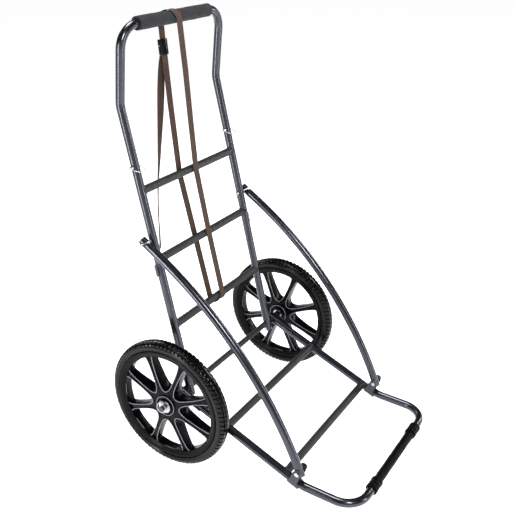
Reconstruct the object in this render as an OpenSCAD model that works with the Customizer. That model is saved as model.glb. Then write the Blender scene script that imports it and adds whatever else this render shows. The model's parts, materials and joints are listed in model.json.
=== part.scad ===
// Two-wheeled folding game cart: a ladder back on a through axle, a sloping nose frame,
// two bowed side rails between them, moulded wheels, lock pins and a cinch strap.
// Millimetres. X across the cart, nose towards -Y, Z up, the ground at Z = 0.

/* [Wheels] */
// Outer diameter of the tyres
wheel_d = 406; // [380:1:430]
// Width of the tyre across its shoulders
tyre_w = 44; // [36:1:52]
// Distance between the middle planes of the two wheels
track = 664; // [650:1:700]
// Number of spokes in each moulded wheel
spokes = 8; // [5:1:10]
// Length of the wheel hub along the axle
hub_w = 50; // [44:1:54]
// Diameter of the through axle
axle_d = 16; // [12:0.5:18]
// Diameter of the sleeve on the axle between the uprights
sleeve_d = 19; // [18:0.5:24]

/* [Back frame] */
// Outer diameter of the frame tubes
tube_d = 25.4; // [22:0.1:28]
// Wall of the frame tubes
tube_wall = 1.6; // [1.2:0.1:2.5]
// Distance between the centre lines of the two uprights
back_w = 465; // [440:1:470]
// Lean of the uprights from plumb, in degrees
back_lean = 12.8; // [8:0.1:18]
// Diameter of the rungs
rung_d = 24; // [18:0.5:25]
// Distance between neighbouring rungs along the uprights
rung_pitch = 207.5; // [190:0.5:220]

/* [Handle] */
// Distance from the axle to the kink in the handle legs
kink_at = 867; // [840:1:900]
// Lean of the handle above the kink, forward of plumb, in degrees
handle_lean = 5.9; // [0:0.1:15]
// Length of the handle legs from the kink to the grip line
handle_rise = 211; // [180:1:240]
// Bend radius of the two top corners
corner_r = 62; // [55:1:90]
// Outer diameter of the foam grip
grip_d = 39; // [32:1:44]
// Length of the foam grip
grip_len = 338; // [250:1:340]

/* [Nose frame] */
// Distance between the centre lines of the two nose rails
nose_w = 536; // [530:1:545]
// Fall of the nose rails from level, in degrees
nose_fall = 23.3; // [20:0.1:26]
// Distance from the axle to the bend in the nose rails
nose_bend_at = 446; // [430:1:460]
// Distance from that bend to the front bar
toe_len = 178; // [160:1:200]
// Bend radius of the two front corners
toe_r = 70; // [50:1:85]
// Distance from the axle to the rear nose rung
nose_rung_rear_at = 173; // [150:1:200]
// Distance from the axle to the front nose rung
nose_rung_front_at = 391; // [350:1:400]
// Outer diameter of the rubber feet on the front bar
foot_d = 36; // [32:1:40]
// Length of each rubber foot
foot_len = 46; // [30:1:60]
// Distance of each foot from the middle of the cart
foot_at = 150; // [100:1:165]
// Outer diameter of the rubber cover between the feet
cover_d = 28.4; // [27:0.1:31]

/* [Side rails] */
// Distance from the axle to the lock pin that holds each side rail
rail_pin_at = 478; // [470:1:500]
// Fall of a side rail at its top end, in degrees
rail_fall_top = 33.5; // [30:0.1:38]
// Straight length of a side rail below its lock pin
rail_straight = 60; // [20:1:100]
// Bend radius of the bowed part of a side rail
rail_bow_r = 1230; // [1200:1:1260]
// Angle that the bowed part turns through, in degrees
rail_bow_angle = 34.4; // [32:0.1:36]

/* [Strap] */
// Width of the webbing
strap_w = 26; // [20:1:30]
// Thickness of the webbing
strap_t = 1.6; // [1:0.1:2.5]

/* [Hidden] */
$fn = 48;

// Fits
run_gap = 0.05;       // radial clearance of a shaft in its bore
clear = 0.4;          // gap between neighbouring loose parts
hook_gap = 0.6;       // radial clearance of the side rails' hooked ends
lap_in = 0.5;         // lap of a straight tube into the bend beside it
lap_wall = 0.03;      // extra wall of a straight tube

// Main places
axle_y = 200;
axle_z = wheel_d / 2;
hub = [axle_y, axle_z];
axle_r = axle_d / 2;
tube_r = tube_d / 2;
bore_r = tube_r - tube_wall;
rung_r = rung_d / 2;
back_x = back_w / 2;
nose_x = nose_w / 2;
wheel_x = track / 2;
hub_in = wheel_x - hub_w / 2;
hub_out = wheel_x + hub_w / 2;

// Distances along the uprights, from the axle
rung_low_at = rung_pitch - 2.5;
rung_middle_at = rung_low_at + rung_pitch + 2;
rung_top_at = rung_middle_at + rung_pitch;
lower_seam_at = 436;
upper_seam_at = 660;
upper_pin_at = 692;
spigot_up = 62;
spigot_down = 26;
upright_foot = 27;
eye_at = 386;

// Hardware
pin_r = 3.5;
pin_head_r = 6;
wire_r = 1.2;
bail_leg = 14;
ring_r = 12;
end_bolt_r = 3;

// A point at distance s along the uprights, moved off to the back by b: [y, z]
function up(s, b = 0) = [
    axle_y + s * sin(back_lean) + b * cos(back_lean),
    axle_z + s * cos(back_lean) - b * sin(back_lean)
];
// A point at distance s down the nose rails, moved upwards by h: [y, z]
function down(s, h = 0) = [
    axle_y - s * cos(nose_fall) - h * sin(nose_fall),
    axle_z - s * sin(nose_fall) + h * cos(nose_fall)
];

kink = up(kink_at);
grip_y = kink[0] - handle_rise * sin(handle_lean);
grip_z = kink[1] + handle_rise * cos(handle_lean);
rail_pin = up(rail_pin_at);

// Lower end of a side rail, from its straight and its bow
rail_fall_low = rail_fall_top + rail_bow_angle;
pivot_y = rail_pin[0] - rail_straight * cos(rail_fall_top)
    - rail_bow_r * (sin(rail_fall_low) - sin(rail_fall_top));
pivot_z = rail_pin[1] - rail_straight * sin(rail_fall_top)
    - rail_bow_r * (cos(rail_fall_top) - cos(rail_fall_low));
rail_end = 14;
rail_end_angle = rail_end / rail_bow_r * 180 / PI;
nose_end = 18;

// ---------- shared shapes ----------

// Repeats a part on both sides of the cart
module both_sides() {
    children();
    mirror([1, 0, 0]) children();
}

// A shaft along X from x0 to x1 at [y, z]
module shaft(x0, x1, yz, r) {
    translate([x0, yz[0], yz[1]]) rotate([0, 90, 0]) cylinder(r = r, h = x1 - x0);
}

// A ring or sleeve along X from x0 to x1
module sleeve(x0, x1, yz, r_out, r_in) {
    translate([x0, yz[0], yz[1]]) rotate([0, 90, 0]) difference() {
        cylinder(r = r_out, h = x1 - x0);
        translate([0, 0, -1]) cylinder(r = r_in, h = x1 - x0 + 2);
    }
}

// Section of a tube, its wall thicker by extra on both faces
module tube_section(extra = 0) {
    difference() {
        circle(r = tube_r + extra);
        circle(r = bore_r - extra);
    }
}

// Straight tube along +Z, with the rest of the run at its far end. It laps into its
// neighbours by a hair, and its wall is a hair thicker, so that the lengths fuse into one tube.
module run(len) {
    translate([0, 0, -lap_in]) linear_extrude(height = len + 2 * lap_in) tube_section(lap_wall);
    translate([0, 0, len]) children();
}

// Straight tube across the cart, between two corners
module cross_run(half, yz) {
    sleeve(-half - lap_in, half + lap_in, yz, tube_r + lap_wall, bore_r - lap_wall);
}

// Bend from +Z towards local +X, with the rest of the run at its far end
module bend(r, angle) {
    translate([r, 0, 0]) rotate([90, 0, 180]) rotate_extrude(angle = angle)
        translate([r, 0]) tube_section();
    translate([r, 0, 0]) rotate([0, angle, 0]) translate([-r, 0, 0]) children();
}

// Places a part at [y, z] with +Z leaning back by lean degrees, its local +X facing the nose
module lean_at(yz, lean) {
    translate([0, yz[0], yz[1]]) rotate([-lean, 0, 0]) rotate([0, 0, -90]) children();
}

// ---------- axle and its hardware ----------

axle_end = hub_out + 19;
lynch_x = hub_out + 9;

module axle() {
    color("silver") difference() {
        shaft(-axle_end, axle_end, hub, axle_r);
        both_sides() translate([lynch_x, axle_y, axle_z - 20]) cylinder(r = 2.6, h = 40);
    }
}

// Long sleeve on the axle that keeps the two uprights apart
module axle_sleeve() {
    half = back_x - tube_r - clear;
    color("#3c3e44") sleeve(-half, half, hub, sleeve_d / 2, axle_r + run_gap);
}

module axle_spacers() {
    color("dimgray") both_sides() {
        sleeve(back_x + tube_r + clear, nose_x - tube_r - clear, hub, 11, axle_r + run_gap);
        sleeve(nose_x + tube_r + clear, hub_in - 3.2, hub, 11, axle_r + run_gap);
    }
}

module hub_washers() {
    color("silver") both_sides() {
        sleeve(hub_in - 2.8, hub_in - 0.4, hub, 16, axle_r + run_gap);
        sleeve(hub_out + 0.4, hub_out + 2.6, hub, 20.5, axle_r + run_gap);
    }
}

// Spring-ring lynch pins through the axle's ends
module lynch_pins() {
    color("silver") both_sides() translate([lynch_x, axle_y, axle_z]) {
        translate([0, 0, -16]) cylinder(r = 2.5, h = 36);
        translate([0, 0, 16]) cylinder(r = 6, h = 7);
        translate([6.5, 0, 4]) rotate([0, 90, 0]) rotate_extrude() translate([16, 0]) circle(r = 1.4);
        translate([0, 0, 19.5]) rotate([0, 90, 0]) cylinder(r = 2.4, h = 8);
    }
}

// ---------- nose frame ----------

toe_fall = asin((down(nose_bend_at)[1] - (foot_d / 2 - 1)) / toe_len);
nose_bend_r = 150;
nose_bend_angle = nose_fall - toe_fall;
nose_bend_cut = nose_bend_r * tan(nose_bend_angle / 2);
nose_straight = nose_end + nose_bend_at - nose_bend_cut;
toe_straight = toe_len - nose_bend_cut - toe_r;
front_bar_y = down(nose_bend_at)[0] - toe_len * cos(toe_fall);
front_bar_z = foot_d / 2 - 1;

// One half of the nose hoop, from behind the axle to the front bar
module nose_half() {
    start = down(-nose_end);
    translate([nose_x, start[0], start[1]]) rotate([90 + nose_fall, 0, 0]) rotate([0, 0, 90])
        run(nose_straight) bend(nose_bend_r, nose_bend_angle)
            run(toe_straight) rotate([0, 0, 90]) bend(toe_r, 90);
}

module nose_tube() {
    color("#4a4e57") difference() {
        union() {
            both_sides() nose_half();
            cross_run(nose_x - toe_r, [front_bar_y, front_bar_z]);
        }
        shaft(-nose_x - 30, nose_x + 30, hub, axle_r + 0.02);
    }
}

// A rung between the nose rails, coped to fit their round sides
module nose_rung(s) {
    p = down(s);
    difference() {
        sleeve(-nose_x + bore_r / 2, nose_x - bore_r / 2, p, rung_r, rung_r - tube_wall);
        both_sides() translate([nose_x, p[0], p[1]]) rotate([90 + nose_fall, 0, 0])
            translate([0, 0, -40]) cylinder(r = tube_r, h = 80);
    }
}

module nose_rung_rear() {
    color("#3c3e44") nose_rung(nose_rung_rear_at);
}

module nose_rung_front() {
    color("#3c3e44") nose_rung(nose_rung_front_at);
}

// Stiffening plate on the outer side of a nose rail, from the axle forwards
module gusset() {
    plate_t = 3;
    corners = [down(-4, 16), down(-14, 8), down(-14, -6), down(80, -6), down(80, 6), down(16, 19)];
    difference() {
        translate([nose_x + tube_r - 0.6, 0, 0]) rotate([90, 0, 90])
            linear_extrude(height = plate_t) polygon(corners);
        shaft(nose_x, nose_x + 40, hub, 11.4);
        translate([nose_x, axle_y, axle_z]) rotate([90 + nose_fall, 0, 0])
            translate([0, 0, -60]) cylinder(r = tube_r + lap_wall, h = 200);
    }
}

module gusset_left() {
    color("#43464e") mirror([1, 0, 0]) gusset();
}

module gusset_right() {
    color("#43464e") gusset();
}

// Saddle that wraps under a nose rail and holds the side rail's lower end between two ears
saddle_t = 3;
ear_gap = tube_r + 0.5;
ear_x = ear_gap + saddle_t;
ear_r = 13;
hinge_r = 4;
saddle_s = (axle_y - pivot_y) * cos(nose_fall) + (axle_z - pivot_z) * sin(nose_fall);
pivot_h = (axle_y - pivot_y) * sin(nose_fall) - (axle_z - pivot_z) * cos(nose_fall);

module saddle() {
    p = down(saddle_s);
    translate([nose_x, p[0], p[1]]) rotate([90 + nose_fall, 0, 0]) rotate([0, 0, 90]) {
        // local +Z runs down the rail, local +X points up to the pivot
        difference() {
            union() {
                translate([0, 0, -17]) cylinder(r = ear_x, h = 40);
                translate([pivot_h, 0, 0]) rotate([90, 0, 0])
                    translate([0, 0, -ear_x]) cylinder(r = ear_r, h = 2 * ear_x);
                translate([0, -ear_x, -ear_r]) cube([pivot_h, 2 * ear_x, 2 * ear_r]);
            }
            translate([0, 0, -60]) cylinder(r = tube_r + lap_wall + 0.02, h = 120);
            translate([0, -ear_gap, -60]) cube([pivot_h + 30, 2 * ear_gap, 120]);
            translate([pivot_h, 0, 0]) rotate([90, 0, 0])
                translate([0, 0, -30]) cylinder(r = hinge_r + 0.02, h = 60);
        }
    }
}

module saddle_left() {
    color("#6a6d74") mirror([1, 0, 0]) saddle();
}

module saddle_right() {
    color("#6a6d74") saddle();
}

// Hinge pins of the side rails, headed on their -X side
module pivot_pins() {
    color("silver") for (x = [-nose_x, nose_x]) {
        shaft(x - ear_x - 5, x + ear_x + 12, [pivot_y, pivot_z], hinge_r);
        shaft(x - ear_x - 5, x - ear_x - 0.3, [pivot_y, pivot_z], 7);
    }
}

// Black hand knobs on the hinge pins' far ends
module pivot_knobs() {
    color("#17181a") for (x = [-nose_x, nose_x]) difference() {
        shaft(x + ear_x + 0.3, x + ear_x + 15, [pivot_y, pivot_z], 11);
        shaft(x + ear_x, x + ear_x + 12, [pivot_y, pivot_z], hinge_r);
    }
}

// Thick rubber sleeve on the front bar, flattened where it stands on the ground
module foot(x) {
    difference() {
        sleeve(x - foot_len / 2, x + foot_len / 2, [front_bar_y, front_bar_z], foot_d / 2, tube_r + lap_wall);
        translate([x - foot_len, front_bar_y - foot_d, -20]) cube([2 * foot_len, 2 * foot_d, 20]);
    }
}

// Thin rubber cover on the front bar, between the feet
module bar_cover() {
    half = foot_at - foot_len / 2 - clear;
    color("#1b1b1d") sleeve(-half, half, [front_bar_y, front_bar_z], cover_d / 2, tube_r + lap_wall);
}

module foot_left() {
    color("#1b1b1d") foot(-foot_at);
}

module foot_right() {
    color("#1b1b1d") foot(foot_at);
}

// ---------- back frame ----------

// A straight piece of upright between two distances from the axle
module upright(s0, s1, x) {
    p = up(s0);
    translate([x, p[0], p[1]]) rotate([-back_lean, 0, 0]) linear_extrude(height = s1 - s0) tube_section();
}

// The reduced inner end that one section pushes into the next
module spigot(seam, x) {
    p = up(seam - spigot_down);
    translate([x, p[0], p[1]]) rotate([-back_lean, 0, 0]) difference() {
        cylinder(r = bore_r - lap_wall - 0.02, h = spigot_down + spigot_up);
        translate([0, 0, -1]) cylinder(r = bore_r - tube_wall, h = spigot_down + spigot_up + 2);
    }
}

// Cross hole for a lock pin through both uprights
module pin_holes(s) {
    shaft(-back_x - 40, back_x + 40, up(s), pin_r + run_gap);
}

module lower_upright(x) {
    difference() {
        upright(-upright_foot, lower_seam_at, x);
        shaft(-back_x - 40, back_x + 40, hub, axle_r + run_gap);
        shaft(-back_x - 40, back_x + 40, up(-upright_foot + 9), end_bolt_r);
    }
}

module lower_upright_left() {
    color("#4a4e57") lower_upright(-back_x);
}

module lower_upright_right() {
    color("#4a4e57") lower_upright(back_x);
}

module lower_spigots() {
    color("#5c6068") difference() {
        for (x = [-back_x, back_x]) spigot(lower_seam_at, x);
        pin_holes(rail_pin_at);
    }
}

// A rung between the uprights, coped to fit their round sides
module back_rung(s) {
    p = up(s);
    difference() {
        sleeve(-back_x + bore_r / 2, back_x - bore_r / 2, p, rung_r, rung_r - tube_wall);
        both_sides() translate([back_x, p[0], p[1]]) rotate([-back_lean, 0, 0])
            translate([0, 0, -40]) cylinder(r = tube_r, h = 80);
    }
}

module rung_low() {
    color("#3c3e44") back_rung(rung_low_at);
}

module rung_middle() {
    color("#3c3e44") back_rung(rung_middle_at);
}

module rung_top() {
    color("#3c3e44") back_rung(rung_top_at);
}

module mid_upright(x) {
    difference() {
        upright(lower_seam_at + 0.3, upper_seam_at, x);
        pin_holes(rail_pin_at);
    }
}

module mid_upright_left() {
    color("#4a4e57") mid_upright(-back_x);
}

module mid_upright_right() {
    color("#4a4e57") mid_upright(back_x);
}

module mid_spigots() {
    color("#5c6068") difference() {
        for (x = [-back_x, back_x]) spigot(upper_seam_at, x);
        pin_holes(upper_pin_at);
    }
}

kink_r = 70;
kink_angle = back_lean + handle_lean;
kink_cut = kink_r * tan(kink_angle / 2);

// One half of the handle, from its seam up the leg to the top bar
module handle_half() {
    start = up(upper_seam_at + 0.3 + lap_in);
    translate([back_x, start[0], start[1]]) rotate([-back_lean, 0, 0]) rotate([0, 0, -90])
        run(kink_at - upper_seam_at - 0.3 - lap_in - kink_cut) bend(kink_r, kink_angle)
            run(handle_rise - kink_cut - corner_r) rotate([0, 0, -90]) bend(corner_r, 90);
}

module handle_loop() {
    color("#4a4e57") difference() {
        union() {
            both_sides() handle_half();
            cross_run(back_x - corner_r, [grip_y, grip_z]);
        }
        pin_holes(upper_pin_at);
    }
}

module grip() {
    color("#37393d") sleeve(-grip_len / 2, grip_len / 2, [grip_y, grip_z], grip_d / 2, tube_r + lap_wall);
}

// Small rod eyes on the outer sides of the uprights, for tie-down hooks
module strap_eyes() {
    eye_len = 34;
    color("#5c6068") both_sides() difference() {
        translate([back_x + tube_r - 1, 0, 0]) lean_at(up(eye_at - eye_len / 2), back_lean)
            translate([-4, 0, 0]) cube([8, 8, eye_len]);
        translate([back_x + tube_r - 2, 0, 0]) lean_at(up(eye_at - eye_len / 2 + 5), back_lean)
            translate([-5, -1, 0]) cube([10, 6, eye_len - 10]);
        translate([back_x, up(eye_at)[0], up(eye_at)[1]]) rotate([-back_lean, 0, 0])
            translate([0, 0, -40]) cylinder(r = tube_r, h = 80);
    }
}

// Small cross bolts through the uprights' bottom ends
module end_bolts() {
    color("silver") for (x = [-back_x, back_x]) {
        shaft(x - tube_r - 3, x + tube_r + 3, up(-upright_foot + 9), end_bolt_r);
        shaft(x - tube_r - 3.4, x - tube_r - 0.1, up(-upright_foot + 9), 5.5);
        shaft(x + tube_r + 0.1, x + tube_r + 3.4, up(-upright_foot + 9), 5.5);
    }
}

// ---------- side rails ----------

// Direction in which a hooked end leaves its lock pin, in degrees above level, facing the nose
hook_rise = 22;
slot_half = pin_r + hook_gap + 0.1;

module side_rail(x) {
    start = [
        rail_pin[0] + rail_end * cos(rail_fall_top),
        rail_pin[1] + rail_end * sin(rail_fall_top)
    ];
    difference() {
        translate([x, start[0], start[1]]) rotate([90 + rail_fall_top, 0, 0]) rotate([0, 0, -90])
            run(rail_end + rail_straight) bend(rail_bow_r, rail_bow_angle + rail_end_angle);
        // hooked top end: a round seat and a slot that opens forwards and up
        shaft(x - 30, x + 30, rail_pin, pin_r + hook_gap);
        translate([x - 30, rail_pin[0], rail_pin[1]]) rotate([-hook_rise, 0, 0])
            translate([0, -40, -slot_half]) cube([60, 40, 2 * slot_half]);
        // bore for the hinge pin
        shaft(x - 30, x + 30, [pivot_y, pivot_z], hinge_r + run_gap);
    }
}

module side_rail_left() {
    color("#4a4e57") side_rail(-nose_x);
}

module side_rail_right() {
    color("#4a4e57") side_rail(nose_x);
}

// ---------- wheels ----------

rim_r = 176;
rim_in = 156;
rim_half = 20;
web_rim_half = 13;
web_hub_half = 21.5;
collar_r = 33;
collar_half = 23;
hub_r = 22;
bush_r = 13;

// Half outline of the opening between two of eight spokes, along and across its middle line
petal_side = [
    [50, 3], [53, 8], [60, 14.5], [72, 21.2], [86, 27.3], [100, 33.3], [115, 38.9], [128, 43.2],
    [139, 46.2], [146.2, 46.8], [150.6, 43.8], [153, 36], [154.4, 24], [155.1, 11]
];
petal_scale = tan(180 / spokes) / tan(22.5);

function petal() = concat(
    [for (p = petal_side) [p[0], p[1] * petal_scale]],
    [for (i = [len(petal_side) - 1:-1:0]) [petal_side[i][0], -petal_side[i][1] * petal_scale]]
);

module wheel_disc() {
    difference() {
        rotate([0, 90, 0]) {
            // rim with its two lips
            rotate_extrude() polygon([
                [rim_in, -web_rim_half], [rim_in + 4, -rim_half], [rim_r, -rim_half],
                [rim_r, -rim_half + 4], [rim_r - 8, -9], [rim_r - 8, 9], [rim_r, rim_half - 4],
                [rim_r, rim_half], [rim_in + 4, rim_half], [rim_in, web_rim_half]
            ]);
            // web that thins from the hub to the rim
            rotate_extrude() polygon([
                [0, -web_hub_half], [collar_r, -web_hub_half], [rim_in + 1, -web_rim_half],
                [rim_in + 1, web_rim_half], [collar_r, web_hub_half], [0, web_hub_half]
            ]);
            translate([0, 0, -collar_half]) cylinder(r = collar_r, h = 2 * collar_half);
            translate([0, 0, -hub_w / 2]) cylinder(r = hub_r, h = hub_w);
        }
        for (i = [0:spokes - 1]) rotate([i * 360 / spokes, 0, 0])
            translate([-40, 0, 0]) rotate([90, 0, 90]) linear_extrude(height = 80)
                polygon(petal());
        rotate([0, 90, 0]) translate([0, 0, -60]) cylinder(r = bush_r, h = 120);
    }
}

module wheel_at(x) {
    translate([x, axle_y, axle_z]) children();
}

module wheel_left() {
    color("#1d1e20") wheel_at(-wheel_x) wheel_disc();
}

module wheel_right() {
    color("#1d1e20") wheel_at(wheel_x) wheel_disc();
}

module tyre() {
    h = tyre_w / 2;
    outer = wheel_d / 2;
    color("#141416") rotate([0, 90, 0]) rotate_extrude($fn = 96) polygon([
        [rim_r - 8, -8.9], [rim_r, -rim_half + 4.1], [rim_r + 0.1, -h + 2], [rim_r + 8, -h],
        [outer - 8, -h], [outer - 3, -h + 5], [outer, -h + 13], [outer, h - 13],
        [outer - 3, h - 5], [outer - 8, h], [rim_r + 8, h], [rim_r + 0.1, h - 2],
        [rim_r, rim_half - 4.1], [rim_r - 8, 8.9]
    ]);
}

module tyre_left() {
    wheel_at(-wheel_x) tyre();
}

module tyre_right() {
    wheel_at(wheel_x) tyre();
}

// Flanged sleeve bushings, one pushed in from each end of a hub
module bushings(x) {
    color("#8a8d92") for (side = [-1, 1]) wheel_at(x) rotate([0, side * 90, 0]) difference() {
        union() {
            translate([0, 0, 4]) cylinder(r = bush_r, h = hub_w / 2 - 4);
            translate([0, 0, hub_w / 2 - 3]) cylinder(r = bush_r, h = 3);
        }
        cylinder(r = axle_r + run_gap, h = hub_w);
    }
}

module bushings_left() {
    bushings(-wheel_x);
}

module bushings_right() {
    bushings(wheel_x);
}

// ---------- lock pins ----------

// Lock pins are all headed on their -X side and are drawn out towards -X
module upper_pin(x) {
    p = up(upper_pin_at);
    color("silver") {
        shaft(x - tube_r - 8, x + tube_r + 7, p, pin_r);
        shaft(x - tube_r - 8, x - tube_r - 1, p, pin_head_r);
    }
}

module upper_pin_left() {
    upper_pin(-back_x);
}

module upper_pin_right() {
    upper_pin(back_x);
}

// Spring-wire bail from the pin's head round the front of the tube to its tip
module upper_bail(x) {
    p = up(upper_pin_at);
    half = tube_r + 5;
    color("silver") translate([x, p[0], p[1]]) rotate([-back_lean, 0, 0]) rotate([118, 0, 0]) {
        for (leg = [[-half, pin_head_r + 0.1], [half, pin_r + 0.1]])
            translate([leg[0], 0, leg[1]]) cylinder(r = wire_r, h = bail_leg - leg[1]);
        translate([0, 0, bail_leg]) rotate([90, 0, 0]) rotate_extrude(angle = 180)
            translate([half, 0]) circle(r = wire_r);
    }
}

module upper_bail_left() {
    upper_bail(-back_x);
}

module upper_bail_right() {
    upper_bail(back_x);
}

// Long lock pin through an upright and the side rail beside it
module lower_pin(x0, x1) {
    color("silver") {
        shaft(x0 - 8, x1 + 6, rail_pin, pin_r);
        shaft(x0 - 8, x0 - 1.5, rail_pin, pin_head_r);
    }
}

module lower_pin_left() {
    lower_pin(-nose_x - tube_r, -back_x + tube_r);
}

module lower_pin_right() {
    lower_pin(back_x - tube_r, nose_x + tube_r);
}

// Loose ring through the eye of a lower lock pin's head
module pull_ring(x) {
    color("silver") translate([x - 5, rail_pin[0], rail_pin[1]]) rotate([0, -25, 0])
        translate([-ring_r - 2.4, 0, 0]) rotate([60, 0, 0])
            rotate_extrude() translate([ring_r, 0]) circle(r = wire_r);
}

module pull_ring_left() {
    pull_ring(-nose_x - tube_r - 5.5);
}

module pull_ring_right() {
    pull_ring(back_x - tube_r - 5.5);
}

// ---------- strap ----------

// Distance of the webbing's middle from a rung's axis
lap = rung_r + 1 + strap_t / 2;
grip_lap = grip_d / 2 + 0.4 + strap_t / 2;
// Buckle's middle
buckle = [-40, 384, 1178];

function rung_point(s, a, r, x) = let (p = up(s))
    [x, p[0] + r * cos(a - back_lean), p[1] + r * sin(a - back_lean)];

// A route with its long steps cut into equal parts
function cut_up(r, longest) = concat(
    [for (i = [0:len(r) - 2]) let (parts = ceil(norm(r[i + 1] - r[i]) / longest))
        each [for (k = [0:parts - 1]) r[i] + (r[i + 1] - r[i]) * k / parts]],
    [r[len(r) - 1]]
);

// The strap's route: out of the buckle, down behind the rungs, round the low one,
// up in front of them and over the grip to the buckle again
strap_route = cut_up(concat(
    [[-40, 380, 1155], [-38, 370, 1020], [-36, 360, 905]],
    [rung_point(rung_top_at, 0, lap + 0.5, -34), rung_point(rung_middle_at, 0, lap + 0.3, -29)],
    [for (i = [0:12]) rung_point(rung_low_at, 2 - i * 15.25, lap, -24 + i * 31 / 12)],
    [rung_point(rung_middle_at, -180, lap + 0.3, 7), rung_point(rung_top_at, -180, lap + 0.5, 13)],
    [[10, 334, 960], [4, 341, 1110]],
    [for (i = [0:10]) let (a = 180 - i * 19)
        [-4 - i * 3.5, grip_y + grip_lap * cos(a), grip_z + grip_lap * sin(a)]],
    [[-40, 386, 1225], [-40, 384.5, 1201.5]]
), 60);

// The tail hangs from the buckle and turns as it falls
tail_route = [
    [-40, 386.5, 1154, -8], [-41, 392, 1122, -12], [-41.5, 397, 1080, -14], [-43, 400, 1035, -14],
    [-45, 403, 985, -8], [-48, 406, 935, 2], [-51, 409, 885, 12], [-54, 412, 835, 20],
    [-58, 415, 785, 27], [-60, 418, 735, 31], [-62, 419, 685, 32], [-63, 419, 635, 32],
    [-63, 419, 590, 30], [-63, 419, 550, 28]
];

function unit(v) = v / norm(v);
function along(r, i) = unit(r[min(i + 1, len(r) - 1)] - r[max(i - 1, 0)]);
function spot(p) = [p[0], p[1], p[2]];

// Band with a rectangular section along a route, its width turned by a yaw angle about Z
module band(route, yaws, w, t) {
    n = len(route);
    ring = [for (i = [0:n - 1])
        let (
            dir = along(route, i),
            side = [cos(yaws[i]), sin(yaws[i]), 0],
            flat = unit(side - dir * (side * dir)),
            up_dir = cross(dir, flat)
        )
        [for (c = [[-1, -1], [1, -1], [1, 1], [-1, 1]])
            route[i] + flat * (c[0] * w / 2) + up_dir * (c[1] * t / 2)]];
    points = [for (r = ring) each r];
    walls = [for (i = [0:n - 2]) for (k = [0:3]) let (j = (k + 1) % 4)
        each [[4 * i + k, 4 * i + 4 + k, 4 * i + 4 + j], [4 * i + k, 4 * i + 4 + j, 4 * i + j]]];
    ends = [[0, 1, 2], [0, 2, 3],
            [4 * n - 4, 4 * n - 2, 4 * n - 3], [4 * n - 4, 4 * n - 1, 4 * n - 2]];
    polyhedron(points = points, faces = concat(walls, ends));
}

module strap_loop() {
    color("#62564b") band(strap_route, [for (p = strap_route) 0], strap_w, strap_t);
}

module strap_tail() {
    color("#62564b") band([for (p = tail_route) spot(p)], [for (p = tail_route) p[3]], strap_w, strap_t);
}

// Cam buckle: a channel with two side cheeks, its cross rods and a thumb lever
buckle_w = 28;
buckle_len = 44;
buckle_base = -7;
base_t = 2;
cheek_t = 2;
cheek_depth = 14;
rod_at = buckle_len / 2 - 4;
lever_y = 3;
lever_z = 4;
lever_len = 24;
cam_r = 4.6;

module in_buckle() {
    translate(buckle) rotate([-6, 0, 0]) children();
}

module buckle_body() {
    color("#17181a") in_buckle() {
        for (side = [-1, 1]) translate([side * (buckle_w - cheek_t) / 2, 0, 0]) difference() {
            translate([-cheek_t / 2, buckle_base, -buckle_len / 2])
                cube([cheek_t, cheek_depth, buckle_len]);
            translate([-cheek_t, lever_y, lever_z]) rotate([0, 90, 0])
                cylinder(r = 2 + run_gap, h = 2 * cheek_t);
        }
        translate([-buckle_w / 2, buckle_base, -buckle_len / 2])
            cube([buckle_w, base_t, buckle_len]);
    }
}

module buckle_rods() {
    color("silver") in_buckle() for (z = [-rod_at, rod_at])
        shaft(-buckle_w / 2 + cheek_t, buckle_w / 2 - cheek_t, [-1.5, z], 1.6);
}

module buckle_lever() {
    inner = buckle_w / 2 - cheek_t - clear;
    color("silver") in_buckle() translate([0, lever_y, lever_z]) {
        rotate([0, 90, 0]) translate([0, 0, -buckle_w / 2 - 0.5]) cylinder(r = 2, h = buckle_w + 1);
        rotate([0, 90, 0]) translate([0, 0, -inner]) cylinder(r = cam_r, h = 2 * inner);
        translate([-inner, 2, -lever_len]) cube([2 * inner, 2.6, lever_len]);
    }
}

axle();
axle_sleeve();
axle_spacers();
hub_washers();
lynch_pins();
nose_tube();
nose_rung_rear();
nose_rung_front();
gusset_left();
gusset_right();
saddle_left();
saddle_right();
pivot_pins();
pivot_knobs();
foot_left();
foot_right();
bar_cover();
lower_upright_left();
lower_upright_right();
lower_spigots();
rung_low();
rung_middle();
mid_upright_left();
mid_upright_right();
mid_spigots();
rung_top();
handle_loop();
grip();
strap_eyes();
end_bolts();
strap_loop();
strap_tail();
buckle_body();
buckle_rods();
buckle_lever();
side_rail_left();
side_rail_right();
wheel_left();
wheel_right();
tyre_left();
tyre_right();
bushings_left();
bushings_right();
upper_pin_left();
upper_pin_right();
upper_bail_left();
upper_bail_right();
lower_pin_left();
lower_pin_right();
pull_ring_left();
pull_ring_right();
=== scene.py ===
import json
import math

import bpy
from mathutils import Matrix, Vector


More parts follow.
